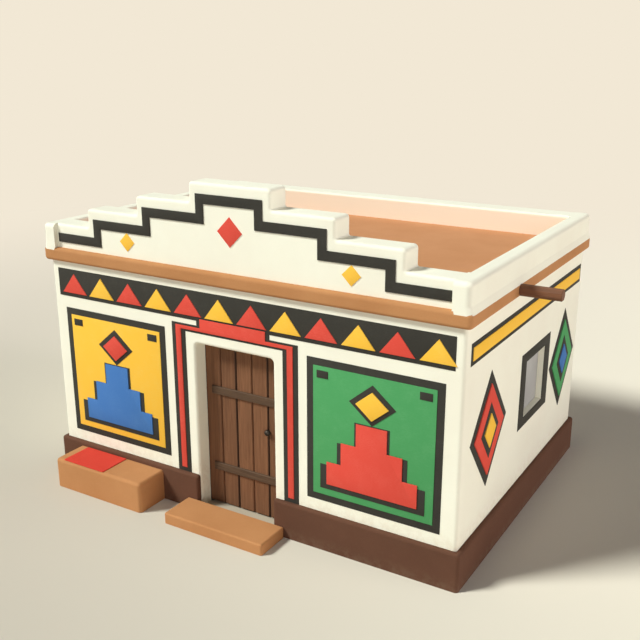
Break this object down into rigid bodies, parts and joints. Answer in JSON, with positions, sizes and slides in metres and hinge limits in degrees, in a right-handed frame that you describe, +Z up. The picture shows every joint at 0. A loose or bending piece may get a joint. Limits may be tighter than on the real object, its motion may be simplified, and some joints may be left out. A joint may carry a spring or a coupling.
{
  "type": "mud house",
  "caption": "Flat-roofed mud house with a stepped front parapet, a pivot-hung plank door, a side window, a mud bench with a mat and a doorstep.",
  "frame": {"origin": "plan centre of the house on the underside of its earth floor, at ground level", "axes": "+Z up; the front with the door faces -Y; the wall with the window and the timber end faces +X"},
  "size_m": [5.824, 4.36, 3.794],
  "materials": {
    "white_plaster": "matt limewashed mud plaster",
    "tan_mud": "matt smoothed tan mud",
    "brown_mud": "matt dark brown mud wash",
    "roof_mud": "matt trodden mud",
    "door_timber": "oiled brown planks",
    "dark_timber": "weathered dark timber",
    "structure_timber": "rough hewn timber",
    "forged_iron": "dark forged iron",
    "socket_stone": "dressed stone",
    "window_glass": "grey obscured glass",
    "mat_cloth": "flat woven red mat"
  },
  "bodies": {
    "house": {"back_parapet": "white_plaster", "back_wall": "white_plaster", "bench": "tan_mud", "bench_mat": "mat_cloth", "cornice_back": "tan_mud", "cornice_front": "tan_mud", "cornice_left": "tan_mud", "cornice_right": "tan_mud", "door_lintel": "structure_timber", "doorstep": "tan_mud", "earth_floor": "roof_mud", "front_parapet": "white_plaster", "front_wall_left": "white_plaster", "front_wall_over_door": "white_plaster", "front_wall_right": "white_plaster", "left_parapet": "white_plaster", "left_wall": "white_plaster", "pivot_stone": "socket_stone", "plinth_back": "brown_mud", "plinth_front_left": "brown_mud", "plinth_front_right": "brown_mud", "plinth_left": "brown_mud", "plinth_right": "brown_mud", "right_parapet": "white_plaster", "right_wall": "white_plaster", "roof_beams": "structure_timber", "roof_pole": "dark_timber", "roof_slab": "roof_mud", "window_frame": "structure_timber", "window_lintel": "structure_timber", "window_pane": "window_glass"},
    "door": {"door_planks": "door_timber", "door_post": "door_timber", "upper_batten": "dark_timber", "lower_batten": "dark_timber", "door_knob": "forged_iron"}
  },
  "joints": [
    {"name": "door_pivot", "type": "hinge", "parent": "house", "child": "door", "pos_m": [-0.5475, -1.693, 0], "axis": [0, 0, 1], "range_deg": [0, 95]}
  ]
}
